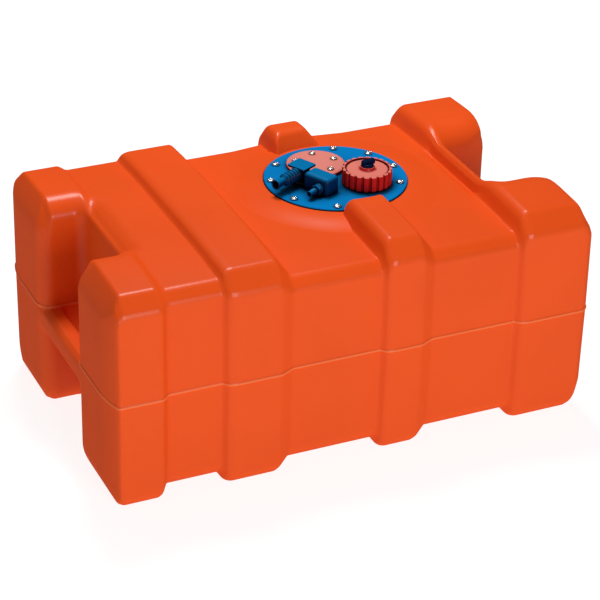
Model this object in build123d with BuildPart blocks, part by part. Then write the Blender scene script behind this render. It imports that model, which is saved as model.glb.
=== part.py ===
"""Fixed fuel tank for an outboard boat: a hollow moulded shell with four raised bands and a hand grip
let into each end, and a bolted top plate that carries the filler, the gauge cover and the hose tails.

Millimetres. X runs along the tank, -Y is its front, +Z is up, and the origin is on the floor under the
middle of the shell.
"""
import os
from math import atan2, cos, degrees, radians, sin

from build123d import *

os.makedirs("parts", exist_ok=True)

# ---- Shell -----------------------------------------------------------------------------------------
LENGTH = 646.0           # end face to end face, without the parting rib
WIDTH = 390.0            # over the faces of the bands
WALL = 5.0
CROWN, CROWN_WIDE = 4.0, 160.0   # the tops rise this far from their edges to the flat middle
DRAFT = 0.75             # degrees of draft away from the parting line
PARTING = 150.0          # height of the parting line
RIB_OUT, RIB_HIGH = 2.0, 5.0

SIDE_STEP = 9.0          # the panels between the bands lie this far in from them
FOOT_STEP = 12.0         # and their undersides this far up
FOOT_BEVEL = 16.0
BAND_BEVEL = (21.0, 24.0)        # depth and height of the bevel along a band's top edge
END_BAND_BEVEL = (18.0, 20.0)
PANEL_BEVEL = (12.5, 12.5)

BAND_TOP = 296.0         # height of the bands at their long edges
LEFT_BAND_DROP, NARROW_PANEL_DROP, PANEL_DROP = 5.0, 11.0, 26.0      # the others lie this far below

# Distances from the left end where each band or panel starts and stops.
BAND_1_END = 64.0
PANEL_A_START, PANEL_A_END = 73.0, 144.0
BAND_2_START, BAND_2_END = 158.0, 217.0
PANEL_B_START, PANEL_B_END = 235.0, 354.0
BAND_3_START, BAND_3_END = 367.0, 406.0
PANEL_C_START, PANEL_C_END = 424.0, 541.0
BAND_4_START = 556.0

END_BEVEL_LONG, END_BEVEL_HIGH, END_BEVEL_WIDE = 24.0, 30.0, 18.0

# ---- Hand grips ------------------------------------------------------------------------------------
GRIP_WIDE = 130.0
LEFT_GRIP_DEEP, RIGHT_GRIP_DEEP = 60.0, 80.0
GRIP_MOUTH_R, GRIP_MOUTH_LONG = 42.5, 42.0
GRIP_ROOT_R = 14.0
GRIP_LIP = 16.0          # bevel along the top of the grip's side walls
BAR_DEEP, BAR_HIGH = 28.0, 36.0
BAR_EDGE = 7.0

# ---- Top plate -------------------------------------------------------------------------------------
PLATE_X, PLATE_Y = 65.0, 29.0
PLATE_R, PLATE_THICK, PLATE_EDGE = 92.5, 5.0, 0.8
SPIGOT_RING_FIT, SPIGOT_RING_WALL, SPIGOT_RING_DEEP = 0.5, 3.0, 6.0
PLATE_GASKET = 1.5
SEAT_CLEAR = 3.0         # round the plate, where the third band is cut away
SEAT_PROUD = 1.5         # the seat stands this far above the crown of the panels
SEAT_DEEP = 14.0
HATCH_R = 72.0
SCREW_CIRCLE_R = 83.5
REAR_PITCH, FRONT_PITCH = 33.0, 40.5     # degrees; uneven, so the plate goes on one way only
FIRST_SCREW = -32.0
SCREW_SHANK_R, SCREW_HEAD_R, SCREW_HEAD_HIGH = 2.5, 4.7, 3.0
SCREW_LONG = 14.0
SCREW_HOLE_R = 2.8
INSERT_R, INSERT_LONG = 4.0, 11.0
THREAD_FIT, HOLE_CLEAR = 0.03, 0.3
HEAD_ROUND = 0.6         # share of a screw head's height that its sloping edge takes

# ---- Gauge cover -----------------------------------------------------------------------------------
COVER_X, COVER_Y = 55.0, 68.5
COVER_R, COVER_THICK, COVER_GASKET = 38.0, 3.5, 1.0
COVER_HOLE_R = 20.0
COVER_SCREWS, COVER_CIRCLE_R, COVER_FIRST = 5, 26.5, 4.0
SMALL_SHANK_R, SMALL_HEAD_R, SMALL_HEAD_HIGH = 2.0, 4.2, 2.6
SMALL_INSERT_R, SMALL_INSERT_LONG = 3.2, 4.4

# ---- Filler neck and cap ---------------------------------------------------------------------------
FILLER_X, FILLER_Y = 96.0, 1.0
NECK_R, NECK_BORE_R = 24.0, 20.0
CAP_R, CAP_HIGH, CAP_TOP_THICK = 32.0, 20.0, 3.0
CAP_GAP = 1.2            # between the cap's skirt and the plate
CAP_THREAD_CLEAR = 1.6   # room for the thread's ridges between neck and cap
SCALLOPS, SCALLOP_R, SCALLOP_DEEP = 20, 2.6, 1.6
CAP_SEAL_THICK = 1.4
CAP_DISH_R, CAP_DISH_DEEP = 27.0, 4.2
VENT_BOSS_R, VENT_BOSS_HIGH = 9.2, 6.5
SPINDLE_R, SPINDLE_FIT = 3.0, 0.05
KNOB_R, KNOB_HIGH, KNOB_GAP, KNOB_SOCKET = 8.0, 3.5, 0.3, 3.0
KNOB_BLADE, KNOB_BLADE_LOW, KNOB_BLADE_HIGH, KNOB_TIP = 7.0, 6.0, 8.6, 10.0
KNOB_TIP_R = 2.4
KNOB_REST = 0.0          # degrees from +X to the blade's tip when the vent is shut
CLIP_R, CLIP_THICK, CLIP_SEAL, CLIP_BELOW = 5.6, 1.2, 1.0, 2.0

# ---- Hose tails ------------------------------------------------------------------------------------
TAIL_ANGLE = 207.0       # both tails point this way, anticlockwise from +X
VENT_X, VENT_Y = 20.7, 34.9
VENT_BODY_R, VENT_BODY_HIGH = 9.5, 18.7
VENT_CAP_WIDE, VENT_CAP_THICK = 25.0, 2.8
VENT_COLLAR_R, VENT_COLLAR_END = 7.8, 13.5     # stop for the hose; its end is this far from the body's axis
VENT_TAIL_R, VENT_BORE_R, VENT_TAIL_LONG = 6.6, 4.6, 54.0
FUEL_X, FUEL_Y = 36.1, -3.0
FUEL_BODY_LONG, FUEL_BODY_WIDE, FUEL_BODY_HIGH = 25.0, 34.0, 22.0
FUEL_BODY_SHIFT = 5.5    # the body reaches this much further to one side of the outlet than to the other
FUEL_CORNER_R, FUEL_TOP_R = 5.0, 4.0
FUEL_BOSS_R, FUEL_BOSS_LONG, BARB_SEAL = 7.2, 2.5, 1.0
FUEL_TAIL_R, FUEL_BORE_R, FUEL_TAIL_LONG = 3.9, 2.2, 17.5
FUEL_HEX, FUEL_HEX_THICK = 13.0, 4.5
FUEL_SOCKET_R, FUEL_SOCKET_DEEP = 4.6, 9.0
VENT_AXIS, FUEL_AXIS = 14.4, 8.5      # heights of the tails' axes above the plate
VENT_BARBS, VENT_BARB_LONG, VENT_BARB_STEP = 4, 5.5, 1.0
FUEL_BARBS, FUEL_BARB_LONG, FUEL_BARB_STEP = 2, 4.5, 0.8
SPIGOT_R, SPIGOT_LONG = 7.0, 20.0
FITTING_SEAL, FITTING_SEAL_R = 1.0, 9.5
NUT_FLATS, NUT_THICK = 22.0, 6.0
TUBE_R = 5.6
NIPPLE_R, NIPPLE_LONG = 4.2, 16.0
STRAINER_R, STRAINER_HIGH, STRAINER_CLEAR = 9.0, 24.0, 3.0
STRAINER_WALL, STRAINER_COLLAR = 1.2, 6.0
STRAINER_SLOTS, STRAINER_SLOT_WIDE, STRAINER_SLOT_HIGH = 8, 3.6, 13.0

LEFT = -LENGTH / 2
left_band_top = BAND_TOP - LEFT_BAND_DROP
narrow_panel_top = BAND_TOP - NARROW_PANEL_DROP
panel_top = BAND_TOP - PANEL_DROP
seat_top = panel_top + CROWN + SEAT_PROUD
plate_under = seat_top + PLATE_GASKET
plate_top = plate_under + PLATE_THICK
cavity_floor = FOOT_STEP + WALL
neck_high = CAP_GAP + CAP_HIGH - CAP_DISH_DEEP - CAP_TOP_THICK - CAP_SEAL_THICK
spigot_foot = plate_top + FITTING_SEAL - SPIGOT_LONG


def band(top, bevel, start, end):
    """Stations at the two ends of a raised band."""
    return [(LEFT + x, 0.0, top, 0.0, bevel) for x in (start, end)]


def panel(top, start, end):
    """Stations at the two ends of a panel set in between bands."""
    return [(LEFT + x, SIDE_STEP, top, FOOT_STEP, PANEL_BEVEL) for x in (start, end)]


def end_station(x, top, bevel):
    """The small section of an end face, inside the bevels of the end."""
    return [(LEFT + x, END_BEVEL_WIDE, top - END_BEVEL_HIGH, FOOT_BEVEL, bevel)]


stations = (
    end_station(0, left_band_top, END_BAND_BEVEL)
    + band(left_band_top, END_BAND_BEVEL, END_BEVEL_LONG, BAND_1_END)
    + panel(narrow_panel_top, PANEL_A_START, PANEL_A_END)
    + band(BAND_TOP, BAND_BEVEL, BAND_2_START, BAND_2_END)
    + panel(panel_top, PANEL_B_START, PANEL_B_END)
    + band(BAND_TOP, BAND_BEVEL, BAND_3_START, BAND_3_END)
    + panel(panel_top, PANEL_C_START, PANEL_C_END)
    + band(BAND_TOP, BAND_BEVEL, BAND_4_START, LENGTH - END_BEVEL_LONG)
    + end_station(LENGTH, BAND_TOP, BAND_BEVEL)
)


def section_points(inset, top, foot, bevel, wall):
    """Corners of a cross section in Y and Z, shrunk by a wall's thickness, anticlockwise from the foot."""
    deep, high = bevel
    side = WIDTH / 2 - inset - wall
    slope = sin(radians(DRAFT))
    low, shoulder, top = foot + wall, top - high, top - wall
    foot_side = side - slope * (PARTING - foot - FOOT_BEVEL)
    top_side = side - slope * (shoulder - PARTING)
    right = [
        (foot_side - FOOT_BEVEL, low),
        (foot_side, low + FOOT_BEVEL),
        (side, PARTING),
        (top_side, shoulder),
        (top_side - deep, top),
        (CROWN_WIDE / 2, top + CROWN),
    ]
    return right + [(-y, z) for y, z in reversed(right)]


def stand_off(x, y, distance, angle=TAIL_ANGLE):
    """The point at a distance from (x, y) in the direction of the hose tails."""
    return x + distance * cos(radians(angle)), y + distance * sin(radians(angle))


screw_angles = [FIRST_SCREW + REAR_PITCH * step for step in range(7)]
screw_angles += [screw_angles[-1] + FRONT_PITCH * step for step in range(1, 4)]
cover_bearing = degrees(atan2(COVER_Y - PLATE_Y, COVER_X - PLATE_X))
# The gauge cover takes the place of the screw nearest to it.
screw_angles = [a for a in screw_angles if abs(a - cover_bearing) > REAR_PITCH / 2]
plate_screw_places = [stand_off(PLATE_X, PLATE_Y, SCREW_CIRCLE_R, a) for a in screw_angles]
cover_screw_places = [
    stand_off(COVER_X, COVER_Y, COVER_CIRCLE_R, COVER_FIRST + 360 / COVER_SCREWS * k)
    for k in range(COVER_SCREWS)
]


def grip_slots(shrink):
    """Both hand grips in plan, each side grown by shrink: a slot with a rounded root and mouth."""
    with BuildSketch() as slots:
        with Locations((-LENGTH / 2, 0)):
            Rectangle(2 * (LEFT_GRIP_DEEP + shrink), GRIP_WIDE + 2 * shrink)
        with Locations((LENGTH / 2, 0)):
            Rectangle(2 * (RIGHT_GRIP_DEEP + shrink), GRIP_WIDE + 2 * shrink)
        fillet(slots.vertices().filter_by(lambda v: abs(v.X) < LENGTH / 2), GRIP_ROOT_R + shrink)
        with Locations((-LENGTH / 2, 0), (LENGTH / 2, 0)):
            Rectangle(2 * GRIP_MOUTH_LONG, GRIP_WIDE + 2 * GRIP_MOUTH_R)
        with GridLocations(LENGTH - 2 * GRIP_MOUTH_LONG, GRIP_WIDE + 2 * GRIP_MOUTH_R, 2, 2):
            Circle(GRIP_MOUTH_R - shrink, mode=Mode.SUBTRACT)
    return slots.sketch


def grip_lips(grow):
    """Wedges that bevel the top of each grip's side walls, moved into the plastic by grow."""
    with BuildPart() as lips:
        for end, deep, top in ((-1, LEFT_GRIP_DEEP, left_band_top), (1, RIGHT_GRIP_DEEP, BAND_TOP)):
            with BuildSketch(Plane.YZ.offset(end * LENGTH / 2)):
                with Locations((0, top + CROWN - GRIP_LIP)):
                    Trapezoid(GRIP_WIDE + 2 * grow / sin(radians(45)), GRIP_LIP + WALL, 135,
                              align=(Align.CENTER, Align.MIN))
            extrude(amount=-end * (deep - GRIP_ROOT_R + grow))
    return lips.part


# ---- The space inside the shell --------------------------------------------------------------------
with BuildPart() as cavity:
    for number, (x, inset, top, foot, bevel) in enumerate(stations):
        inward = WALL * ((number == 0) - (number == len(stations) - 1))
        with BuildSketch(Plane.YZ.offset(x + inward)):
            with BuildLine():
                Polyline(*section_points(inset, top, foot, bevel, WALL), close=True)
            make_face()
    loft(ruled=True)
    with BuildSketch():
        add(grip_slots(WALL))
    extrude(amount=BAND_TOP + WALL, mode=Mode.SUBTRACT)
    add(grip_lips(WALL), mode=Mode.SUBTRACT)
    with BuildSketch(Plane.XY.offset(seat_top - SEAT_DEEP)):
        with Locations((PLATE_X, PLATE_Y)):
            Circle(PLATE_R + SEAT_CLEAR + WALL)
    extrude(amount=BAND_TOP, mode=Mode.SUBTRACT)

# ---- Shell: one hollow moulding --------------------------------------------------------------------
with BuildPart() as tank_shell:
    for x, inset, top, foot, bevel in stations:
        with BuildSketch(Plane.YZ.offset(x)):
            with BuildLine():
                Polyline(*section_points(inset, top, foot, bevel, 0), close=True)
            make_face()
    loft(ruled=True)
    with BuildSketch(Plane.XY.offset(-WALL)):
        add(grip_slots(0))
    extrude(amount=BAND_TOP + 2 * WALL, mode=Mode.SUBTRACT)

    add(grip_lips(0), mode=Mode.SUBTRACT)

    # The parting rib runs right round the outline at the height of the parting line.
    with BuildSketch(Plane.XY.offset(PARTING - RIB_HIGH / 2)):
        with BuildLine():
            front = [(x, inset - WIDTH / 2) for x, inset, *_ in stations]
            Polyline(*front, *[(x, -y) for x, y in reversed(front)], close=True)
        make_face()
        add(grip_slots(0), mode=Mode.SUBTRACT)
        offset(amount=RIB_OUT, kind=Kind.INTERSECTION)
    extrude(amount=RIB_HIGH)

    # A grip bar joins the two lobes of each end, level with the parting line.
    for end in (-1, 1):
        with BuildSketch(Plane.XZ.offset(-GRIP_WIDE / 2 - GRIP_MOUTH_R)):
            with Locations((end * (LENGTH / 2 - BAR_DEEP / 2 - RIB_OUT), PARTING - BAR_HIGH / 2)):
                Rectangle(BAR_DEEP, BAR_HIGH)
            chamfer(vertices(), BAR_EDGE)
        extrude(amount=GRIP_WIDE + 2 * GRIP_MOUTH_R)

    # The third band is cut away round the top plate, down to a flat seat with a thickened edge.
    with BuildSketch(Plane.XY.offset(seat_top)):
        with Locations((PLATE_X, PLATE_Y)):
            Circle(PLATE_R + SEAT_CLEAR)
    extrude(amount=BAND_TOP, mode=Mode.SUBTRACT)
    with BuildSketch(Plane.XY.offset(seat_top)):
        with Locations((PLATE_X, PLATE_Y)):
            Circle(PLATE_R + SEAT_CLEAR)
    extrude(amount=-SEAT_DEEP)
    add(cavity.part, mode=Mode.SUBTRACT)
    with BuildSketch(Plane.XY.offset(seat_top)):
        with Locations((PLATE_X, PLATE_Y)):
            Circle(HATCH_R)
    extrude(amount=-SEAT_DEEP - WALL - CROWN, mode=Mode.SUBTRACT)
    with BuildSketch(Plane.XY.offset(seat_top)):
        with Locations(*plate_screw_places):
            Circle(INSERT_R)
    extrude(amount=-INSERT_LONG, mode=Mode.SUBTRACT)
tank_shell.part.label = "tank_shell"

# ---- Threaded brass inserts moulded into the seat --------------------------------------------------
with BuildPart() as seat_inserts:
    with BuildSketch(Plane.XY.offset(seat_top)):
        with Locations(*plate_screw_places):
            Circle(INSERT_R)
            Circle(SCREW_SHANK_R + THREAD_FIT, mode=Mode.SUBTRACT)
    extrude(amount=-INSERT_LONG)
seat_inserts.part.label = "seat_inserts"

# ---- Ring of fuel-proof rubber between seat and plate ----------------------------------------------
with BuildPart() as plate_gasket:
    with BuildSketch(Plane.XY.offset(seat_top)):
        with Locations((PLATE_X, PLATE_Y)):
            Circle(PLATE_R)
            Circle(HATCH_R, mode=Mode.SUBTRACT)
        with Locations(*plate_screw_places):
            Circle(SCREW_HOLE_R, mode=Mode.SUBTRACT)
    extrude(amount=PLATE_GASKET)
plate_gasket.part.label = "plate_gasket"

# ---- Top plate, with the filler neck and the cover's screw bosses moulded on -----------------------
with BuildPart() as top_plate:
    with BuildSketch(Plane.XY.offset(plate_under)):
        with Locations((PLATE_X, PLATE_Y)):
            Circle(PLATE_R)
    extrude(amount=PLATE_THICK)
    chamfer(edges().group_by(Axis.Z)[-1], PLATE_EDGE)
    with BuildSketch(Plane.XY.offset(plate_under)):
        with Locations((PLATE_X, PLATE_Y)):
            Circle(HATCH_R - SPIGOT_RING_FIT)
            Circle(HATCH_R - SPIGOT_RING_FIT - SPIGOT_RING_WALL, mode=Mode.SUBTRACT)
    extrude(amount=-SPIGOT_RING_DEEP)
    with BuildSketch(Plane.XY.offset(plate_top)):
        with Locations((FILLER_X, FILLER_Y)):
            Circle(NECK_R)
    extrude(amount=neck_high)
    with Locations((FILLER_X, FILLER_Y, plate_top + neck_high)):
        Hole(NECK_BORE_R)
    with Locations((COVER_X, COVER_Y, plate_top)):
        Hole(COVER_HOLE_R)
    with Locations((VENT_X, VENT_Y, plate_top), (FUEL_X, FUEL_Y, plate_top)):
        Hole(SPIGOT_R + THREAD_FIT)
    with Locations(*[(x, y, plate_top) for x, y in plate_screw_places]):
        Hole(SCREW_HOLE_R)
    with Locations(*[(x, y, plate_top) for x, y in cover_screw_places]):
        Hole(SMALL_INSERT_R, depth=SMALL_INSERT_LONG)
top_plate.part.label = "top_plate"


def pan_head_screws(places, seat, shank_r, head_r, head_high, long):
    """A group of pan-head screws whose heads sit at the height seat."""
    with BuildPart() as screws:
        with BuildSketch(Plane.XY.offset(seat)):
            with Locations(*places):
                Circle(head_r)
        extrude(amount=head_high)
        chamfer(screws.edges().group_by(Axis.Z)[-1], head_high * HEAD_ROUND)
        with BuildSketch(Plane.XY.offset(seat)):
            with Locations(*places):
                Circle(shank_r)
        extrude(amount=-long)
    return screws.part


with BuildPart() as plate_screws:
    add(pan_head_screws(plate_screw_places, plate_top, SCREW_SHANK_R, SCREW_HEAD_R,
                        SCREW_HEAD_HIGH, SCREW_LONG))
plate_screws.part.label = "plate_screws"

# ---- Gauge cover: a blanking disc over the sender hole, on its own gasket --------------------------
with BuildPart() as cover_gasket:
    with BuildSketch(Plane.XY.offset(plate_top)):
        with Locations((COVER_X, COVER_Y)):
            Circle(COVER_R)
            Circle(COVER_HOLE_R, mode=Mode.SUBTRACT)
        with Locations(*cover_screw_places):
            Circle(SMALL_SHANK_R + HOLE_CLEAR, mode=Mode.SUBTRACT)
    extrude(amount=COVER_GASKET)
cover_gasket.part.label = "cover_gasket"

with BuildPart() as gauge_cover:
    with BuildSketch(Plane.XY.offset(plate_top + COVER_GASKET)):
        with Locations((COVER_X, COVER_Y)):
            Circle(COVER_R)
        with Locations(*cover_screw_places):
            Circle(SMALL_SHANK_R + HOLE_CLEAR, mode=Mode.SUBTRACT)
    extrude(amount=COVER_THICK)
    rims = gauge_cover.edges().group_by(Axis.Z)[-1].sort_by(lambda e: e.length)
    chamfer(rims[-1], PLATE_EDGE)
gauge_cover.part.label = "gauge_cover"

with BuildPart() as cover_inserts:
    with BuildSketch(Plane.XY.offset(plate_top)):
        with Locations(*cover_screw_places):
            Circle(SMALL_INSERT_R)
            Circle(SMALL_SHANK_R + THREAD_FIT, mode=Mode.SUBTRACT)
    extrude(amount=-SMALL_INSERT_LONG)
cover_inserts.part.label = "cover_inserts"

with BuildPart() as cover_screws:
    add(pan_head_screws(cover_screw_places, plate_top + COVER_GASKET + COVER_THICK, SMALL_SHANK_R,
                        SMALL_HEAD_R, SMALL_HEAD_HIGH, COVER_THICK + COVER_GASKET + SMALL_INSERT_LONG))
cover_screws.part.label = "cover_screws"

# ---- Filler cap: a scalloped shell that screws over the neck ---------------------------------------
cap_foot = plate_top + CAP_GAP
cap_top = cap_foot + CAP_HIGH
cap_dish = cap_top - CAP_DISH_DEEP
cap_ceiling = cap_dish - CAP_TOP_THICK
with BuildPart() as filler_cap:
    with BuildSketch(Plane.XY.offset(cap_foot)):
        with Locations((FILLER_X, FILLER_Y)):
            Circle(CAP_R)
            with PolarLocations(CAP_R + SCALLOP_R - SCALLOP_DEEP, SCALLOPS):
                Circle(SCALLOP_R, mode=Mode.SUBTRACT)
    extrude(amount=CAP_HIGH)
    with BuildSketch(Plane.XY.offset(cap_top)):
        with Locations((FILLER_X, FILLER_Y)):
            Circle(CAP_DISH_R)
    extrude(amount=-CAP_DISH_DEEP, mode=Mode.SUBTRACT)
    with BuildSketch(Plane.XY.offset(cap_ceiling)):
        with Locations((FILLER_X, FILLER_Y)):
            Circle(VENT_BOSS_R)
    extrude(amount=CAP_TOP_THICK + VENT_BOSS_HIGH)
    with BuildSketch(Plane.XY.offset(cap_foot)):
        with Locations((FILLER_X, FILLER_Y)):
            Circle(NECK_R + CAP_THREAD_CLEAR)
    extrude(amount=cap_ceiling - cap_foot, mode=Mode.SUBTRACT)
    with Locations((FILLER_X, FILLER_Y, cap_dish + VENT_BOSS_HIGH)):
        Hole(SPINDLE_R + SPINDLE_FIT)
filler_cap.part.label = "filler_cap"

with BuildPart() as cap_seal:
    with BuildSketch(Plane.XY.offset(cap_ceiling)):
        with Locations((FILLER_X, FILLER_Y)):
            Circle(NECK_R)
            Circle(NECK_BORE_R, mode=Mode.SUBTRACT)
    extrude(amount=-CAP_SEAL_THICK)
cap_seal.part.label = "cap_seal"

# ---- Vent valve in the cap: knob, spindle, seal and clip -------------------------------------------
knob_foot = cap_dish + VENT_BOSS_HIGH + KNOB_GAP
with BuildPart() as vent_knob:
    with BuildSketch(Plane.XY.offset(knob_foot)):
        with Locations((FILLER_X, FILLER_Y)):
            Circle(KNOB_R)
    extrude(amount=KNOB_HIGH)
    blade_plane = Plane((FILLER_X, FILLER_Y, knob_foot), x_dir=(*stand_off(0, 0, 1, KNOB_REST), 0),
                        z_dir=(*stand_off(0, 0, 1, KNOB_REST - 90), 0))
    with BuildSketch(blade_plane):
        with BuildLine():
            Polyline((0, 0), (-KNOB_R, 0), (-KNOB_R, KNOB_BLADE_LOW), (0, KNOB_BLADE_HIGH),
                     (KNOB_TIP, KNOB_BLADE_HIGH), (KNOB_TIP, KNOB_BLADE_HIGH / 2), (KNOB_R, 0), (0, 0))
        make_face()
        fillet(vertices().group_by(Axis.X)[-1], KNOB_TIP_R)
    extrude(amount=KNOB_BLADE / 2, both=True)
    with BuildSketch(Plane.XY.offset(knob_foot)):
        with Locations((FILLER_X, FILLER_Y)):
            Circle(SPINDLE_R + SPINDLE_FIT)
    extrude(amount=KNOB_SOCKET, mode=Mode.SUBTRACT)
vent_knob.part.label = "vent_knob"

spindle_foot = cap_ceiling - CLIP_SEAL - CLIP_THICK - CLIP_BELOW
with BuildPart() as vent_spindle:
    with BuildSketch(Plane.XY.offset(spindle_foot)):
        with Locations((FILLER_X, FILLER_Y)):
            Circle(SPINDLE_R)
    extrude(amount=knob_foot + KNOB_SOCKET - spindle_foot)
    chamfer(edges().group_by(Axis.Z)[0], SPINDLE_R / 3)
vent_spindle.part.label = "vent_spindle"

with BuildPart() as spindle_seal:
    with BuildSketch(Plane.XY.offset(cap_ceiling)):
        with Locations((FILLER_X, FILLER_Y)):
            Circle(CLIP_R)
            Circle(SPINDLE_R, mode=Mode.SUBTRACT)
    extrude(amount=-CLIP_SEAL)
spindle_seal.part.label = "spindle_seal"

with BuildPart() as spindle_clip:
    with BuildSketch(Plane.XY.offset(cap_ceiling - CLIP_SEAL)):
        with Locations((FILLER_X, FILLER_Y)):
            Circle(CLIP_R)
            Circle(SPINDLE_R, mode=Mode.SUBTRACT)
            with Locations((CLIP_R, 0)):
                Rectangle(2 * CLIP_R, SPINDLE_R, mode=Mode.SUBTRACT)
    extrude(amount=-CLIP_THICK)
spindle_clip.part.label = "spindle_clip"


# ---- Hose tails ------------------------------------------------------------------------------------
def tail_plane(x, y, axis):
    """Local X runs out along a hose tail, local Y points up and local Z lies across it."""
    out = stand_off(0, 0, 1)
    return Plane((x, y, plate_top + axis), x_dir=(*out, 0), z_dir=(out[1], -out[0], 0))


def barbed_profile(radius, start, long, count, pitch, step):
    """Half outline of a hose tail: a plain root, then saw teeth that slope down towards the mouth."""
    first = start + long - count * pitch
    profile = [(start, 0), (start, radius)]
    for crest in [first + pitch * k for k in range(count)]:
        profile += [(crest, radius), (crest + pitch, radius - step)]
    return profile + [(start + long, 0)]


with BuildPart() as vent_elbow:
    with BuildSketch(Plane.XY.offset(plate_top + FITTING_SEAL)):
        with Locations((VENT_X, VENT_Y)):
            Circle(VENT_BODY_R)
    extrude(amount=VENT_BODY_HIGH)
    with BuildSketch(Plane.XY.offset(plate_top + FITTING_SEAL + VENT_BODY_HIGH)):
        with Locations(Location((VENT_X, VENT_Y, 0), (0, 0, TAIL_ANGLE))):
            RectangleRounded(VENT_CAP_WIDE, VENT_CAP_WIDE, VENT_CAP_THICK / 2)
    extrude(amount=VENT_CAP_THICK)
    chamfer(edges().group_by(Axis.Z)[-1], PLATE_EDGE)
    tail = tail_plane(VENT_X, VENT_Y, VENT_AXIS)
    with BuildSketch(tail):
        with BuildLine():
            Polyline(*barbed_profile(VENT_TAIL_R, 0, VENT_TAIL_LONG, VENT_BARBS, VENT_BARB_LONG,
                                     VENT_BARB_STEP), close=True)
        make_face()
    revolve(axis=Axis(tail.origin, tail.x_dir))
    outlet = Plane(tail.origin, x_dir=(0, 0, 1), z_dir=tail.x_dir)
    with BuildSketch(outlet):
        Circle(VENT_COLLAR_R)
    extrude(amount=VENT_COLLAR_END)
    with BuildSketch(Plane.XY.offset(plate_top + FITTING_SEAL)):
        with Locations((VENT_X, VENT_Y)):
            Circle(SPIGOT_R)
    extrude(amount=-SPIGOT_LONG)
    with BuildSketch(Plane.XY.offset(plate_top + VENT_AXIS)):
        with Locations((VENT_X, VENT_Y)):
            Circle(VENT_BORE_R)
    extrude(amount=-VENT_AXIS - SPIGOT_LONG, mode=Mode.SUBTRACT)
    with BuildSketch(outlet):
        Circle(VENT_BORE_R)
    extrude(amount=VENT_TAIL_LONG, mode=Mode.SUBTRACT)
vent_elbow.part.label = "vent_elbow"

with BuildPart() as fuel_outlet:
    with BuildSketch(Plane.XY.offset(plate_top + FITTING_SEAL)):
        with Locations(Location((*stand_off(FUEL_X, FUEL_Y, FUEL_BODY_SHIFT, TAIL_ANGLE - 90), 0),
                                (0, 0, TAIL_ANGLE))):
            RectangleRounded(FUEL_BODY_LONG, FUEL_BODY_WIDE, FUEL_CORNER_R)
    extrude(amount=FUEL_BODY_HIGH)
    fillet(edges().group_by(Axis.Z)[-1], FUEL_TOP_R)
    tail = tail_plane(FUEL_X, FUEL_Y, FUEL_AXIS)
    face = Plane(tail.origin, x_dir=(0, 0, 1), z_dir=tail.x_dir)
    with BuildSketch(face.offset(FUEL_BODY_LONG / 2)):
        Circle(FUEL_BOSS_R)
    extrude(amount=FUEL_BOSS_LONG)
    with BuildSketch(Plane.XY.offset(plate_top + FITTING_SEAL)):
        with Locations((FUEL_X, FUEL_Y)):
            Circle(SPIGOT_R)
    extrude(amount=-SPIGOT_LONG)
    with BuildSketch(Plane.XY.offset(spigot_foot)):
        with Locations((FUEL_X, FUEL_Y)):
            Circle(NIPPLE_R)
    extrude(amount=-NIPPLE_LONG)
    with BuildSketch(Plane.XY.offset(plate_top + FUEL_AXIS)):
        with Locations((FUEL_X, FUEL_Y)):
            Circle(FUEL_BORE_R)
    extrude(amount=-FUEL_AXIS - SPIGOT_LONG - NIPPLE_LONG, mode=Mode.SUBTRACT)
    with BuildSketch(face):
        Circle(FUEL_BORE_R)
    extrude(amount=FUEL_BODY_LONG, mode=Mode.SUBTRACT)
    with BuildSketch(face.offset(FUEL_BODY_LONG / 2 + FUEL_BOSS_LONG)):
        Circle(FUEL_SOCKET_R)
    extrude(amount=-FUEL_SOCKET_DEEP, mode=Mode.SUBTRACT)
fuel_outlet.part.label = "fuel_outlet"

barb_seat = FUEL_BODY_LONG / 2 + FUEL_BOSS_LONG
with BuildPart() as barb_seal:
    with BuildSketch(face.offset(barb_seat)):
        Circle(FUEL_HEX / 2)
        Circle(FUEL_SOCKET_R, mode=Mode.SUBTRACT)
    extrude(amount=BARB_SEAL)
barb_seal.part.label = "barb_seal"

with BuildPart() as fuel_barb:
    with BuildSketch(face.offset(barb_seat + BARB_SEAL)):
        RegularPolygon(FUEL_HEX / 2, 6, major_radius=False)
    extrude(amount=FUEL_HEX_THICK)
    with BuildSketch(face.offset(barb_seat + BARB_SEAL)):
        Circle(FUEL_SOCKET_R - THREAD_FIT)
    extrude(amount=-FUEL_SOCKET_DEEP)
    with BuildSketch(tail):
        with BuildLine():
            Polyline(*barbed_profile(FUEL_TAIL_R, barb_seat + BARB_SEAL, FUEL_TAIL_LONG, FUEL_BARBS,
                                     FUEL_BARB_LONG, FUEL_BARB_STEP), close=True)
        make_face()
    revolve(axis=Axis(tail.origin, tail.x_dir))
    with BuildSketch(face.offset(barb_seat + BARB_SEAL + FUEL_TAIL_LONG)):
        Circle(FUEL_BORE_R)
    extrude(amount=-FUEL_TAIL_LONG - FUEL_SOCKET_DEEP, mode=Mode.SUBTRACT)
fuel_barb.part.label = "fuel_barb"

fitting_places = [(VENT_X, VENT_Y), (FUEL_X, FUEL_Y)]
with BuildPart() as fitting_seals:
    with BuildSketch(Plane.XY.offset(plate_top)):
        with Locations(*fitting_places):
            Circle(FITTING_SEAL_R)
            Circle(SPIGOT_R, mode=Mode.SUBTRACT)
    extrude(amount=FITTING_SEAL)
fitting_seals.part.label = "fitting_seals"

with BuildPart() as fitting_nuts:
    with BuildSketch(Plane.XY.offset(plate_under)):
        with Locations(*fitting_places):
            RegularPolygon(NUT_FLATS / 2, 6, major_radius=False)
            Circle(SPIGOT_R + THREAD_FIT, mode=Mode.SUBTRACT)
    extrude(amount=-NUT_THICK)
fitting_nuts.part.label = "fitting_nuts"

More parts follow.
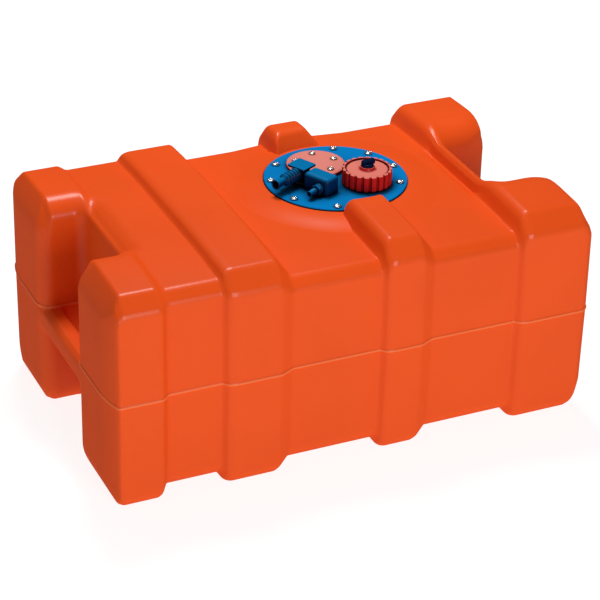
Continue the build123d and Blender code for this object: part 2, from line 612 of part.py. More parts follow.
# ---- Pick-up: a tube pushed onto the outlet's nipple, with a strainer near the floor ---------------
strainer_foot = cavity_floor + STRAINER_CLEAR
with BuildPart() as pickup_tube:
    with BuildSketch(Plane.XY.offset(spigot_foot)):
        with Locations((FUEL_X, FUEL_Y)):
            Circle(TUBE_R)
            Circle(NIPPLE_R, mode=Mode.SUBTRACT)
    extrude(amount=strainer_foot + STRAINER_HIGH / 2 - spigot_foot)
pickup_tube.part.label = "pickup_tube"

with BuildPart() as pickup_strainer:
    with BuildSketch(Plane.XY.offset(strainer_foot)):
        with Locations((FUEL_X, FUEL_Y)):
            Circle(STRAINER_R)
    extrude(amount=STRAINER_HIGH)
    with BuildSketch(Plane.XY.offset(strainer_foot + STRAINER_WALL)):
        with Locations((FUEL_X, FUEL_Y)):
            Circle(STRAINER_R - STRAINER_WALL)
    extrude(amount=STRAINER_HIGH - STRAINER_COLLAR, mode=Mode.SUBTRACT)
    with BuildSketch(Plane.XY.offset(strainer_foot + STRAINER_WALL)):
        with Locations((FUEL_X, FUEL_Y)):
            Circle(TUBE_R)
    extrude(amount=STRAINER_HIGH, mode=Mode.SUBTRACT)
    with Locations((FUEL_X, FUEL_Y, strainer_foot + STRAINER_WALL * 2 + STRAINER_SLOT_HIGH / 2)):
        with PolarLocations(STRAINER_R, STRAINER_SLOTS):
            Box(STRAINER_R, STRAINER_SLOT_WIDE, STRAINER_SLOT_HIGH, mode=Mode.SUBTRACT)
pickup_strainer.part.label = "pickup_strainer"

for piece in (
    tank_shell, seat_inserts, plate_gasket, top_plate, plate_screws, cover_gasket, gauge_cover,
    cover_inserts, cover_screws, filler_cap, cap_seal, vent_knob, vent_spindle, spindle_seal,
    spindle_clip, vent_elbow, fuel_outlet, barb_seal, fuel_barb, fitting_seals, fitting_nuts,
    pickup_tube, pickup_strainer,
):
    export_step(piece.part, f"parts/{piece.part.label}.step")
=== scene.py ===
"""The looks of a fixed outboard fuel tank: an orange moulded shell with raised bands and hand grips, and a
bolted blue plate with a red filler cap, a red gauge cover and two hose tails. Metres, in the CAD frame."""
from math import cos, pi, radians, sin

import bpy
import numpy as np
from mathutils import Matrix, Vector


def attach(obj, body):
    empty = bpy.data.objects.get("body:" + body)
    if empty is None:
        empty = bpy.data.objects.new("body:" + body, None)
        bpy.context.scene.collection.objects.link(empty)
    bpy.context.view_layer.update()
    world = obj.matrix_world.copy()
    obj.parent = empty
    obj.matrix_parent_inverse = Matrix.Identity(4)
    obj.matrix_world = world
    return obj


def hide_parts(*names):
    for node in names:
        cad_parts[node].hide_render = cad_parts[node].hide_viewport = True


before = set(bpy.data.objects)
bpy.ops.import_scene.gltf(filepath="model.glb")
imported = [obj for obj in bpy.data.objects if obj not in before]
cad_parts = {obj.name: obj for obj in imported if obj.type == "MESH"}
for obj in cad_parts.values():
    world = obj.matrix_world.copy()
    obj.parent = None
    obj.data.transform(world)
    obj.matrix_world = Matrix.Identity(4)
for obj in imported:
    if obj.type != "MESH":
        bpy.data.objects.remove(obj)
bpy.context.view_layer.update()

# ---- Camera ----------------------------------------------------------------------------------------------
# A long lens, a little above the tank, looking at its front left corner. Its place and turn were worked out
# from the tank's straight edges, and the picture is square. The tank's and the camera's sizes are millimetres,
# turned into metres where they reach Blender.
MM = 0.001
VIEW_AZIMUTH, VIEW_ELEVATION, VIEW_ROLL = radians(24.87), radians(29.37), radians(1.42)
VIEW_TARGET = np.array([0.0, 0.0, 130.0])
VIEW_OFFSET = np.array([-5.28, -0.02, 2987.24])     # the target's place: right, down and away
FOCAL_PIXELS, PICTURE_PIXELS, SENSOR_WIDTH = 2308.16, 600, 36.0
forward = np.array([sin(VIEW_AZIMUTH) * cos(VIEW_ELEVATION), cos(VIEW_AZIMUTH) * cos(VIEW_ELEVATION),
                    -sin(VIEW_ELEVATION)])
rightward = np.array([cos(VIEW_AZIMUTH), -sin(VIEW_AZIMUTH), 0.0])
downward = np.cross(forward, rightward)
turn = np.array([[cos(VIEW_ROLL), -sin(VIEW_ROLL), 0.0],
                 [sin(VIEW_ROLL), cos(VIEW_ROLL), 0.0],
                 [0.0, 0.0, 1.0]])
view_rows = turn @ np.array([rightward, downward, forward])
camera_place = (VIEW_TARGET - view_rows.T @ VIEW_OFFSET) * MM
camera_axes = np.array([view_rows[0], -view_rows[1], -view_rows[2]]).T
camera = bpy.data.objects.new("camera", bpy.data.cameras.new("camera"))
camera.data.sensor_width = SENSOR_WIDTH
camera.data.lens = FOCAL_PIXELS / PICTURE_PIXELS * SENSOR_WIDTH
camera.data.clip_end = 50.0
camera.matrix_world = Matrix.LocRotScale(Vector(camera_place), Matrix(camera_axes).to_quaternion(), None)
bpy.context.scene.collection.objects.link(camera)
bpy.context.scene.camera = camera


# ---- Studio ----------------------------------------------------------------------------------------------
# A plain white floor that glows a little, so that it stays white and its shadows stay faint; a small soft
# light overhead and behind for the top, a large one low in front for the near side, and a weak one to the
# left. The studio's sizes are metres.
def flat_material(name, colour, roughness, **sockets):
    """A Principled material with the same colour all over, for the finish of a plain surface."""
    material = bpy.data.materials.new(name)
    material.use_nodes = True
    shader = material.node_tree.nodes["Principled BSDF"]
    shader.inputs["Base Color"].default_value = (*colour, 1.0)
    shader.inputs["Roughness"].default_value = roughness
    for socket, value in sockets.items():
        shader.inputs[socket.replace("_", " ")].default_value = value
    return material


FLOOR_HALF, FLOOR_TONE, FLOOR_ROUGHNESS, FLOOR_GLOW, WORLD_GLOW = 60.0, 0.25, 0.9, 0.87, 0.1
floor_corners = [(x * FLOOR_HALF, y * FLOOR_HALF, 0) for x, y in ((-1, -1), (1, -1), (1, 1), (-1, 1))]
floor_mesh = bpy.data.meshes.new("floor")
floor_mesh.from_pydata(floor_corners, [], [(0, 1, 2, 3)])
floor = bpy.data.objects.new("floor", floor_mesh)
floor_mesh.materials.append(flat_material("white_floor", (FLOOR_TONE,) * 3, FLOOR_ROUGHNESS,
                                          Emission_Color=(1, 1, 1, 1), Emission_Strength=FLOOR_GLOW))
floor.visible_glossy = False       # the bright floor isn't mirrored in the upright faces
bpy.context.scene.collection.objects.link(floor)

world = bpy.data.worlds.new("white_room")
bpy.context.scene.world = world
world.use_nodes = True
world.node_tree.nodes["Background"].inputs["Color"].default_value = (1.0, 1.0, 1.0, 1.0)
world.node_tree.nodes["Background"].inputs["Strength"].default_value = WORLD_GLOW
bpy.context.scene.view_settings.view_transform = "Standard"


def soft_light(name, place, aim, size, power):
    """A square area light at place, turned so that it shines at aim."""
    light = bpy.data.objects.new(name, bpy.data.lights.new(name, "AREA"))
    light.data.size = size
    light.data.energy = power
    light.location = place
    light.rotation_mode = "QUATERNION"
    light.rotation_quaternion = (Vector(aim) - Vector(place)).to_track_quat("-Z", "Y")
    bpy.context.scene.collection.objects.link(light)
    return light


TANK_MIDDLE = (0.0, 0.0, 0.15)
soft_light("overhead_light", (0.15, 0.75, 2.15), TANK_MIDDLE, 0.6, 36.0)
soft_light("left_light", (-0.9, 0.2, 2.1), TANK_MIDDLE, 1.6, 4.0).data.specular_factor = 0.0
soft_light("front_light", (-0.1, -2.75, 0.95), TANK_MIDDLE, 1.2, 39.5)


# ---- Tank shell ------------------------------------------------------------------------------------------
# One hollow moulding of orange polyethylene, turned in an oven until the powder lines the mould. Four raised
# bands stiffen it, a hand grip is let into each end behind a bar, and a rib marks where the mould halves met.
LENGTH, WIDTH = 646.0, 390.0
DRAFT = sin(radians(0.75))
PARTING, RIB_OUT, RIB_HALF = 150.0, 1.3, 2.0       # the rib is flat to half of RIB_HALF and gone at 1.5 of it
CROWN, CROWN_HALF = 4.0, 60.0
SIDE_STEP, FOOT_STEP, FOOT_BEVEL = 9.0, 12.0, 16.0
END_START = 17.0
END_ROWS = {-1: ((8.0, 12.0, 0.0, 6.0, 5.0), (-1.0, 24.0, 34.0, 18.0, 16.0), (-17.0, 48.0, 96.0, 40.0, 18.0)),
            1: ((11.0, 13.0, 0.0, 8.0, 6.0), (-1.0, 29.0, 10.0, 28.0, 19.0), (-17.0, 54.0, 36.0, 56.0, 19.0))}
LEFT = -LENGTH / 2
BAND = (0.0, 0.0, 21.0, 24.0)
GRIP_BAND = (0.0, 0.0, 18.0, 20.0)
PANEL = (SIDE_STEP, FOOT_STEP, 12.5, 12.5)
SLOPE_BLEND = 2.5        # half width over which the corners of a slope are rounded
EDGE_R = 3.5
SEAT_AT, SEAT_R, SEAT_TOP, SEAT_DEEP, SEAT_FLARE, FLARE_RUN = (65.0, 29.0), 95.5, 275.5, 30.0, 0.75, 10.0
SEAT_FOOT_R, SEAT_BLEND, ROOM_FLOOR_R, ROOM_EDGE_R = 3.0, 5.0, 2.0, 6.0
# Behind the plate the narrow band lies nearer the left end and higher. The shift sets in at REAR_Y over
# REAR_RUN, and the lift also at LIFT_Z over LIFT_RUN. Both are full within 30 mm of REAR_X and gone at 80 mm.
REAR_SHIFT, REAR_LIFT, REAR_Y, REAR_RUN, REAR_X, REAR_REACH = 10.0, 3.5, 80.0, 40.0, 62.0, 50.0
LIFT_Z, LIFT_RUN = 200.0, 50.0
GRIPS = ((-1, 60.0, 20.0, 32.0), (1, 80.0, 57.0, 40.0))     # end, depth, radius of the mouth and of the lip
GRIP_HALF, GRIP_ROOT_R, LIP_BEYOND = 65.0, 14.0, 12.0
BAR_MID, BAR_HALF_DEEP, BAR_HALF_HIGH, BAR_EDGE, BAR_EDGE_R, BAR_BLEND = 307.0, 14.0, 18.0, 7.0, 2.5, 6.0

# Where each band or panel starts and stops: x, top, inset, foot, bevel depth, bevel height. From a panel up to
# the next band the skin climbs steeply at first and then ever flatter; down again it's a plain slope.
profile_rows = []
for start, stop, top, kind in (
    (END_START, 64.0, 291.0, GRIP_BAND), (73.0, 144.0, 285.0, PANEL), (158.0, 217.0, 296.0, BAND),
    (235.0, 354.0, 270.0, PANEL), (367.0, 406.0, 296.0, BAND), (424.0, 541.0, 270.0, PANEL),
    (556.0, LENGTH - END_START, 296.0, BAND),
):
    here = np.array([LEFT + start, top, *kind])
    if profile_rows and top > profile_rows[-1][1]:
        before = profile_rows[-1]
        profile_rows += [before + np.array([run, *[rise] * 5]) * (here - before)
                         for run, rise in ((0.2, 0.52), (0.5, 0.84))]
    profile_rows += [here, here + [stop - start, 0, 0, 0, 0, 0]]
# At each end the top falls, the sides draw in and the long bevel shrinks away: the distance from the end, and
# the drop, inset, foot and bevel shrink there.
for side in (-1, 1):
    band = profile_rows[0] if side < 0 else profile_rows[-1]
    for far, drop, inset, foot, shrink in END_ROWS[side]:
        row = band + [0, -drop, inset, foot, -shrink, -shrink]
        row[0] = side * (LENGTH / 2 - far)
        profile_rows = [row, *profile_rows] if side < 0 else [*profile_rows, row]
profile_rows = np.array(profile_rows)


def outline_at(x):
    """Top, inset, foot, bevel depth and bevel height at each x: straight lines between the rows, averaged
    over a window twice SLOPE_BLEND wide (a mean of seven samples), so that their corners are round."""
    shifts = np.linspace(-SLOPE_BLEND, SLOPE_BLEND, 7)
    spread = x[..., None] + shifts
    return [np.interp(spread, profile_rows[:, 0], profile_rows[:, k]).mean(-1) for k in range(1, 6)]


def round_max(a, b, radius):
    """The larger of two distances, with the corner where they meet rounded to a radius."""
    corner = np.hypot(np.maximum(a + radius, 0), np.maximum(b + radius, 0))
    return np.minimum(-radius, np.maximum(a, b)) + corner


def round_min(a, b, radius):
    """The smaller of two distances, with the hollow corner where they meet filled to a radius."""
    return -round_max(-a, -b, radius)


def shell_distance(x, y, z):
    """Rough distance outside the tank's skin, negative inside: the rounded common part of its top, sides,
    foot and ends, less the grips and the space over the plate, plus the seat and the grip bars. The slopes are
    taken from the outline a step ahead, and a distance is divided by its slope's length."""
    behind = np.clip((y - REAR_Y) / REAR_RUN, 0, 1) * np.clip(1.6 - np.abs(x - REAR_X) / REAR_REACH, 0, 1)
    x_true, z_true = x, z
    x = x + REAR_SHIFT * behind
    z = z - REAR_LIFT * behind * np.clip((z - LIFT_Z) / LIFT_RUN, 0, 1)
    top, inset, foot, bevel_deep, bevel_high = outline_at(x)
    step = 1.0
    ahead = outline_at(x + step)
    steep_top = np.hypot(1, (ahead[0] - top) / step)
    steep_side = np.hypot(1, (ahead[1] - inset) / step)
    steep_foot = np.hypot(1, (ahead[2] - foot) / step)
    across = np.abs(y)
    side_at = WIDTH / 2 - inset - DRAFT * np.abs(z - PARTING)
    bulge = RIB_OUT * np.clip(1.6 - 1.1 * np.abs(z - PARTING) / RIB_HALF, 0, 1)
    shoulder = WIDTH / 2 - inset - DRAFT * (top - bevel_high - PARTING)
    crown_edge = shoulder - bevel_deep
    crown = CROWN * (1 - np.clip((across - CROWN_HALF) / (crown_edge - CROWN_HALF), 0, None) ** 2)
    side = (across - side_at) / steep_side
    over = (z - top - crown) / steep_top
    bevel = (across - shoulder + bevel_deep) * bevel_high + (z - top) * bevel_deep
    bevel /= np.hypot(bevel_deep, bevel_high) * steep_top
    under = (foot - z) / steep_foot
    foot_side = WIDTH / 2 - inset - DRAFT * (PARTING - foot - FOOT_BEVEL)
    foot_bevel = (across - foot_side + FOOT_BEVEL + foot - z) / np.sqrt(2) / steep_side
    end = np.abs(x) - LENGTH / 2
    body = round_max(round_max(side, bevel, EDGE_R), over, EDGE_R)
    body = round_max(body, round_max(under, foot_bevel, EDGE_R), EDGE_R)

    # The grips are cut from the ends, and the top and the underside round down into their mouths.
    ends = end
    for sign, deep, mouth_r, lip_r in GRIPS:
        beyond = sign * x > 0
        slot = round_max(across - GRIP_HALF, LENGTH / 2 - deep - sign * x, GRIP_ROOT_R)
        ends = np.where(beyond, round_max(end, -slot, mouth_r), ends)
        mouth = round_max(end - LIP_BEYOND, -slot, mouth_r)
        lip = np.maximum(round_max(over, mouth, lip_r), round_max(under, mouth, lip_r))
        body = np.where(beyond, np.maximum(body, lip), body)
    body = round_max(body, ends, EDGE_R) - bulge
    for sign, _, mouth_r, _ in GRIPS:
        beam_x = np.abs(x - sign * BAR_MID) - BAR_HALF_DEEP
        beam_z = np.abs(z - PARTING + BAR_HALF_HIGH) - BAR_HALF_HIGH
        chamfer = (beam_x + beam_z + BAR_EDGE) / np.sqrt(2)
        bar = round_max(round_max(beam_x, beam_z, BAR_EDGE_R), chamfer, BAR_EDGE_R)
        bar = round_max(bar, across - GRIP_HALF - mouth_r, BAR_EDGE_R)
        body = round_min(body, bar, BAR_BLEND)

    # The seat is a disc that fills the hollows under the plate; the room over it opens wider behind.
    from_seat = np.hypot(x_true - SEAT_AT[0], y - SEAT_AT[1]) - SEAT_R
    seat = round_max(from_seat, SEAT_TOP - SEAT_DEEP - z_true, SEAT_FOOT_R)
    flare = SEAT_FLARE * np.clip((y - REAR_Y) / FLARE_RUN, 0, 1)
    flared = (from_seat - flare * np.maximum(z_true - SEAT_TOP, 0)) / np.hypot(1, flare)
    room = round_max(flared, SEAT_TOP - z_true, ROOM_FLOOR_R)
    return round_max(round_min(body, seat, SEAT_BLEND), -room, ROOM_EDGE_R)


COARSE, SPACING_GROWTH = 9.0, 0.55


def grid_lines(low, high, zones):
    """Places along one direction, as close as each zone (from, to, spacing) asks. Away from a zone the spacing
    grows with the distance until it is coarse. The density is added up and cut into equal parts."""
    fine = np.linspace(low, high, 4000)
    spacing = np.full(fine.shape, COARSE)
    for start, stop, close in zones:
        outside = np.maximum(np.maximum(start - fine, fine - stop), 0)
        spacing = np.minimum(spacing, close + outside * SPACING_GROWTH)
    count = np.concatenate([[0], np.cumsum(np.diff(fine) / spacing[:-1])])
    return np.interp(np.linspace(0, count[-1], int(count[-1]) + 1), count, fine)


def skin_of(distance, lines):
    """Corners and quads of the surface where distance is zero. Each grid cell that the surface passes through
    gets one corner, at the mean of its edge crossings, and each crossed grid edge joins its four cells in a
    quad that faces outwards."""
    x, y, z = np.ix_(*lines)
    value = distance(x, y, z) + np.zeros((x.size, y.size, z.size))
    cells = np.array(value.shape) - 1
    total, hits = np.zeros((*cells, 3)), np.zeros(cells)
    rims = []
    for axis in range(3):
        near = np.take(value, range(value.shape[axis] - 1), axis)
        far = np.take(value, range(1, value.shape[axis]), axis)
        crossed = (near < 0) != (far < 0)
        share = np.where(crossed, near / np.where(crossed, near - far, 1), 0)
        place = np.stack(np.broadcast_arrays(*[
            line[:-1].reshape(s) + share * np.diff(line).reshape(s) if k == axis else line.reshape(s)
            for k, (line, s) in enumerate(zip(lines, ((-1, 1, 1), (1, -1, 1), (1, 1, -1))))]), -1)
        others = [k for k in range(3) if k != axis]
        for first in (0, 1):
            for second in (0, 1):
                cut = [slice(None)] * 3
                cut[others[0]] = slice(first, first + cells[others[0]])
                cut[others[1]] = slice(second, second + cells[others[1]])
                total += place[tuple(cut)] * crossed[tuple(cut)][..., None]
                hits += crossed[tuple(cut)]
        rims.append((crossed, near < 0, others))
    used = hits > 0
    number = np.cumsum(used).reshape(used.shape) - 1
    corners = total[used] / hits[used][:, None]
    quads = []
    for axis, (crossed, inside, others) in enumerate(rims):
        at = np.argwhere(crossed)
        at = at[(at[:, others[0]] > 0) & (at[:, others[1]] > 0)]
        step = np.eye(3, dtype=int)
        ring = [number[tuple((at - a * step[others[0]] - b * step[others[1]]).T)]
                for a, b in ((1, 1), (0, 1), (0, 0), (1, 0))]
        quad = np.stack(ring, 1)
        backwards = inside[tuple(at.T)] == (axis == 1)
        quad[backwards] = quad[backwards][:, ::-1]
        quads.append(quad)
    return corners, np.concatenate(quads)


def slope_of(distance, places, step=0.4):
    """Distance at each place and its gradient: the difference of samples a step to either side, over two steps."""
    x, y, z = places.T
    gradient = np.stack([
        (distance(x + dx, y + dy, z + dz) - distance(x - dx, y - dy, z - dz)) / (2 * step)
        for dx, dy, dz in ((step, 0, 0), (0, step, 0), (0, 0, step))], 1)
    return distance(x, y, z), gradient


def mesh_piece(name, corners_mm, faces, normals=None):
    """A smooth mesh object from corners in millimetres and a list of faces, with the given normals, if any."""
    mesh = bpy.data.meshes.new(name)
    mesh.from_pydata((corners_mm * MM).tolist(), [], faces)
    mesh.polygons.foreach_set("use_smooth", np.full(len(mesh.polygons), True))
    mesh.update()
    if normals is not None:
        mesh.normals_split_custom_set_from_vertices(normals.tolist())
    made = bpy.data.objects.new(name, mesh)
    bpy.context.scene.collection.objects.link(made)
    return made


def grained(name, colour, roughness, spread, patch, grain, height_mm=0.03, painted_top_light=None, corner=0.0, **sockets):
    """A Principled material worked out from the place on the object. A coarse noise (patch, in cells per metre)
    lightens and darkens the colour by the spread, a middling one changes the roughness by a fifth, and a fine
    one (grain, in cells per metre) raises bumps of the given height. Where the skin faces the sky it takes the
    lighter top colour, if there is one: painted light. Where other skin stands within the corner distance (in
    metres), the colour is darkened: painted shade."""
    material = flat_material(name, colour, roughness, **sockets)
    nodes, link = material.node_tree.nodes, material.node_tree.links.new
    shader, place = nodes["Principled BSDF"], nodes.new("ShaderNodeTexCoord")

    def noise(scale, detail):
        """A noise of so many cells per metre at the place on the object."""
        made = nodes.new("ShaderNodeTexNoise")
        made.inputs["Scale"].default_value = scale
        made.inputs["Detail"].default_value = detail
        link(place.outputs["Object"], made.inputs["Vector"])
        return made.outputs["Fac"]

    ramp = nodes.new("ShaderNodeValToRGB")
    ramp.color_ramp.elements[0].position, ramp.color_ramp.elements[1].position = 0.3, 0.7
    ramp.color_ramp.elements[0].color = (*[c * (1 - spread) for c in colour], 1)
    ramp.color_ramp.elements[1].color = (*[min(c * (1 + spread), 1) for c in colour], 1)
    link(noise(patch, 4.0), ramp.inputs["Fac"])
    tone = ramp.outputs["Color"]
    # Painted light: upward faces take the lighter top colour, as if lit from above.
    if painted_top_light:       # sets in where the normal's upward part is 0.35, full at 0.95
        facing, upward = nodes.new("ShaderNodeNewGeometry"), nodes.new("ShaderNodeSeparateXYZ")
        amount, mix = nodes.new("ShaderNodeMapRange"), nodes.new("ShaderNodeMixRGB")
        amount.inputs["From Min"].default_value, amount.inputs["From Max"].default_value = 0.35, 0.95
        link(facing.outputs["Normal"], upward.inputs["Vector"])
        link(upward.outputs["Z"], amount.inputs["Value"])
        link(amount.outputs["Result"], mix.inputs["Fac"])
        link(tone, mix.inputs["Color1"])
        mix.inputs["Color2"].default_value = (*painted_top_light, 1)
        tone = mix.outputs["Color"]
    # Painted shade: the colour is darkened where other skin hems a place in, in corners and under parts.
    if corner:      # down to 0.12 of the colour where less than 0.45 of the sky is open
        open_sky, amount = nodes.new("ShaderNodeAmbientOcclusion"), nodes.new("ShaderNodeMapRange")
        mix = nodes.new("ShaderNodeMixRGB")
        open_sky.inputs["Distance"].default_value = corner
        amount.inputs["From Min"].default_value, amount.inputs["From Max"].default_value = 0.45, 0.97
        link(open_sky.outputs["AO"], amount.inputs["Value"])
        link(amount.outputs["Result"], mix.inputs["Fac"])
        mix.inputs["Color1"].default_value = (*[0.12 * c for c in colour], 1)
        link(tone, mix.inputs["Color2"])
        tone = mix.outputs["Color"]
    link(tone, shader.inputs["Base Color"])
    rough = nodes.new("ShaderNodeMapRange")
    rough.inputs["To Min"].default_value = 0.8 * roughness
    rough.inputs["To Max"].default_value = 1.2 * roughness
    link(noise(patch * 9, 3.0), rough.inputs["Value"])
    link(rough.outputs["Result"], shader.inputs["Roughness"])
    bump = nodes.new("ShaderNodeBump")
    bump.inputs["Strength"].default_value = 1.0
    bump.inputs["Distance"].default_value = height_mm * MM
    link(noise(grain, 2.0), bump.inputs["Height"])
    link(bump.outputs["Normal"], shader.inputs["Normal"])
    if "Coat_Weight" in sockets:
        link(bump.outputs["Normal"], shader.inputs["Coat Normal"])
    return material


# The grid is closer at the bands' ends and slopes, at the bevels, and at the rib, the panels' tops and the top.
shell_lines = (
    grid_lines(-330, 330, [(-326, -311, 1.5), (-327, -243, 2.9), (-184, -160, 2.4), (-111, -84, 2.4),
                           (27, 49, 2.4), (78, 105, 2.4), (214, 327, 2.9), (311, 326, 1.5)]),
    grid_lines(-202, 202, [(-198, -182, 1.4), (-178, -170, 1.3), (170, 178, 1.3), (182, 198, 1.4),
                           (-84, -60, 2.4), (60, 84, 2.4), (118, 144, 2.8)]),
    grid_lines(-5, 306, [(-2, 2, 1.3), (10, 18, 1.4), (110, 144, 4.0), (147, 153, 0.7), (254, 261, 1.4),
                         (266, 276, 1.3), (282, 302, 1.5)]),
)
shell_corners, shell_quads = skin_of(shell_distance, shell_lines)
# Five Newton steps along the gradient, of 1.5 mm at most, draw the corners onto the surface, where the gradient
# gives the normals.
for _ in range(5):
    off, gradient = slope_of(shell_distance, shell_corners)
    shift = off[:, None] * gradient / np.maximum((gradient ** 2).sum(1), 0.05)[:, None]
    shell_corners -= np.clip(shift, -1.5, 1.5)
gradient = slope_of(shell_distance, shell_corners)[1]
gradient /= np.linalg.norm(gradient, axis=1, keepdims=True)
shell = mesh_piece("shell_skin", shell_corners, shell_quads.tolist(), normals=gradient)
# A low index with a thin hard coat gives a weak, even sheen that grows little at a slant; FAINT is weaker yet.
SHEEN = {"IOR": 1.12, "Coat_Weight": 0.07, "Coat_IOR": 3.0}
FAINT = {"IOR": 1.02, "Coat_Weight": 0.03, "Coat_IOR": 3.0}
orange_moulding = grained("orange_moulding", (0.78, 0.079, 0.0075), 0.7, spread=0.035, patch=7.0, grain=260.0,
                          height_mm=0.035, Coat_Roughness=0.28, **SHEEN)
# The rib's paler colour is a painted highlight along the top of the parting rib.
RIB_HIGHLIGHT = (0.84, 0.16, 0.05, 1)
RIB_LINE, PALE_FULL, PALE_GONE = PARTING + 0.6, 0.7, 1.8


def painted_rib_highlight(material):
    """Mixes a paler colour in by height along the rib, a painted highlight: fully where a place is within
    PALE_FULL of the rib's line, not at all past PALE_GONE, and not where the skin faces up, as on the tops of the
    grip bars."""
    nodes, link = material.node_tree.nodes, material.node_tree.links.new
    base = nodes["Principled BSDF"].inputs["Base Color"]
    height, off_rib = nodes.new("ShaderNodeSeparateXYZ"), nodes.new("ShaderNodeMath")
    aside, near_rib = nodes.new("ShaderNodeMath"), nodes.new("ShaderNodeMapRange")
    pale, facing = nodes.new("ShaderNodeMixRGB"), nodes.new("ShaderNodeNewGeometry")
    upward, upright = nodes.new("ShaderNodeSeparateXYZ"), nodes.new("ShaderNodeMapRange")
    upright.inputs["From Min"].default_value, upright.inputs["From Max"].default_value = 0.97, 0.9
    link(facing.outputs["Normal"], upward.inputs["Vector"])
    link(upward.outputs["Z"], upright.inputs["Value"])
    link(upright.outputs["Result"], near_rib.inputs["To Max"])
    off_rib.operation, aside.operation = "SUBTRACT", "ABSOLUTE"
    off_rib.inputs[1].default_value = RIB_LINE * MM
    near_rib.inputs["From Min"].default_value = PALE_GONE * MM
    near_rib.inputs["From Max"].default_value = PALE_FULL * MM
    link(nodes["Texture Coordinate"].outputs["Object"], height.inputs["Vector"])
    link(height.outputs["Z"], off_rib.inputs[0])
    link(off_rib.outputs["Value"], aside.inputs[0])
    link(aside.outputs["Value"], near_rib.inputs["Value"])
    link(near_rib.outputs["Result"], pale.inputs["Fac"])
    link(base.links[0].from_socket, pale.inputs["Color1"])
    pale.inputs["Color2"].default_value = RIB_HIGHLIGHT
    link(pale.outputs["Color"], base)


painted_rib_highlight(orange_moulding)
shell.data.materials.append(orange_moulding)
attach(shell, "tank")
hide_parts("tank_shell")

# ---- Seat rim --------------------------------------------------------------------------------------------
# The shell's skin swells gently towards the plate and ends in a crisp rim, so that the plate lies sunk in it
# and shows only the top of its edge. It is part of the same orange moulding.
RIM_R, RIM_TOP, RIM_FALL, RIM_WIDE, RIM_FOOT = 93.1, 280.2, 6.7, 50.0, 6.0
CROWN_RUN = 112.0        # from the crown's flat middle out to the long bevel
along = np.linspace(0, 1, 24)
swell = np.stack([RIM_R + 1.0 + RIM_WIDE * along, RIM_TOP - RIM_FALL * (1 - np.cos(pi * along)) / 2], 1)
foot_z = RIM_TOP - RIM_FALL - RIM_FOOT
rim_profile = np.vstack([
    [(RIM_R + RIM_WIDE, foot_z), (RIM_R + RIM_WIDE + 1, foot_z)], swell[::-1],
    [(RIM_R + 0.4, RIM_TOP - 0.2), (RIM_R, RIM_TOP - 0.7), (RIM_R, SEAT_TOP - 4)]])
rim_r, rim_z = rim_profile[:, 0:1], rim_profile[:, 1:2]
rim_angle = np.linspace(0, 2 * pi, 256, endpoint=False)
rim_corners = np.stack(np.broadcast_arrays(
    SEAT_AT[0] + rim_r * np.cos(rim_angle), SEAT_AT[1] + rim_r * np.sin(rim_angle), rim_z), -1)
# The foot of the swell follows the crown: outwards, ever more of the crown's fall is taken off its height.
outward = np.clip((rim_r - RIM_R) / RIM_WIDE, 0, 1)
beyond_flat = np.clip((np.abs(rim_corners[..., 1]) - CROWN_HALF) / CROWN_RUN, 0, None)
rim_corners[..., 2] -= outward * CROWN * beyond_flat ** 2
ring = np.arange(rim_corners[..., 0].size).reshape(rim_corners.shape[:2])
beside, above = np.roll(ring, -1, 1), np.roll(ring, -1, 0)
rim_quads = np.stack([ring, beside, np.roll(above, -1, 1), above], -1).reshape(-1, 4)
rim = mesh_piece("seat_rim", rim_corners.reshape(-1, 3), rim_quads.tolist())
rim.data.materials.append(orange_moulding)
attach(rim, "tank")

# ---- Screws ----------------------------------------------------------------------------------------------
# Stainless pan-head screws with a pressed cross recess: nine hold the plate to the sleeves moulded into the
# shell, and five smaller ones hold the gauge cover.
PLATE_TOP, PLATE_AT, PLATE_SCREW_R = 282.0, np.array([65.0, 29.0]), 83.5
COVER_TOP, COVER_AT, COVER_SCREW_R = 286.5, np.array([55.0, 68.5]), 26.5


def softened(points, steps=5):
    """A profile whose corners (r, z, radius) are rounded: each corner becomes a curve that starts and ends a
    radius away from it along its two sides (at most half of a side) and bends towards it."""
    out = []
    for k, (r, z, radius) in enumerate(points):
        here = np.array([r, z])
        if radius == 0 or k in (0, len(points) - 1):
            out.append(here)
            continue
        arms = [np.array(points[k + d][:2]) - here for d in (-1, 1)]
        ends = [here + arm * min(radius / np.hypot(*arm), 0.49) for arm in arms]
        t = np.linspace(0, 1, steps)[:, None]
        out += list((1 - t) ** 2 * ends[0] + 2 * t * (1 - t) * here + t ** 2 * ends[1])
    return np.array(out)


def turned(profile, count=64, shape=None):
    """Rings of a turned body: every profile point (r, z) at count angles. The shape, if there is one, gives a
    new radius and height from the radius, the height and the angle."""
    angle = np.linspace(0, 2 * pi, count, endpoint=False)[None, :]
    radius, height = profile[:, 0:1] + 0 * angle, profile[:, 1:2] + 0 * angle
    if shape:
        radius, height = shape(radius, height, angle)
    return np.stack([radius * np.cos(angle), radius * np.sin(angle), height], -1)


def closed_rings(*stacks):
    """Corners and faces of closed bodies, each a stack of rings joined by quads, with a fan at either end."""
    corners, faces, start = [], [], 0
    for rings in stacks:
        many, count = rings.shape[:2]
        number = start + np.arange(many * count).reshape(many, count)
        after = np.roll(number, -1, 1)
        first, last = start + many * count, start + many * count + 1
        corners += [rings.reshape(-1, 3), rings[0].mean(0)[None], rings[-1].mean(0)[None]]
        quads = np.stack([number[:-1], after[:-1], after[1:], number[1:]], -1).reshape(-1, 4)
        under = np.stack([after[0], number[0], np.full(count, first)], -1)
        over = np.stack([number[-1], after[-1], np.full(count, last)], -1)
        faces += quads.tolist() + under.tolist() + over.tolist()
        start += many * count + 2
    return np.concatenate(corners), faces


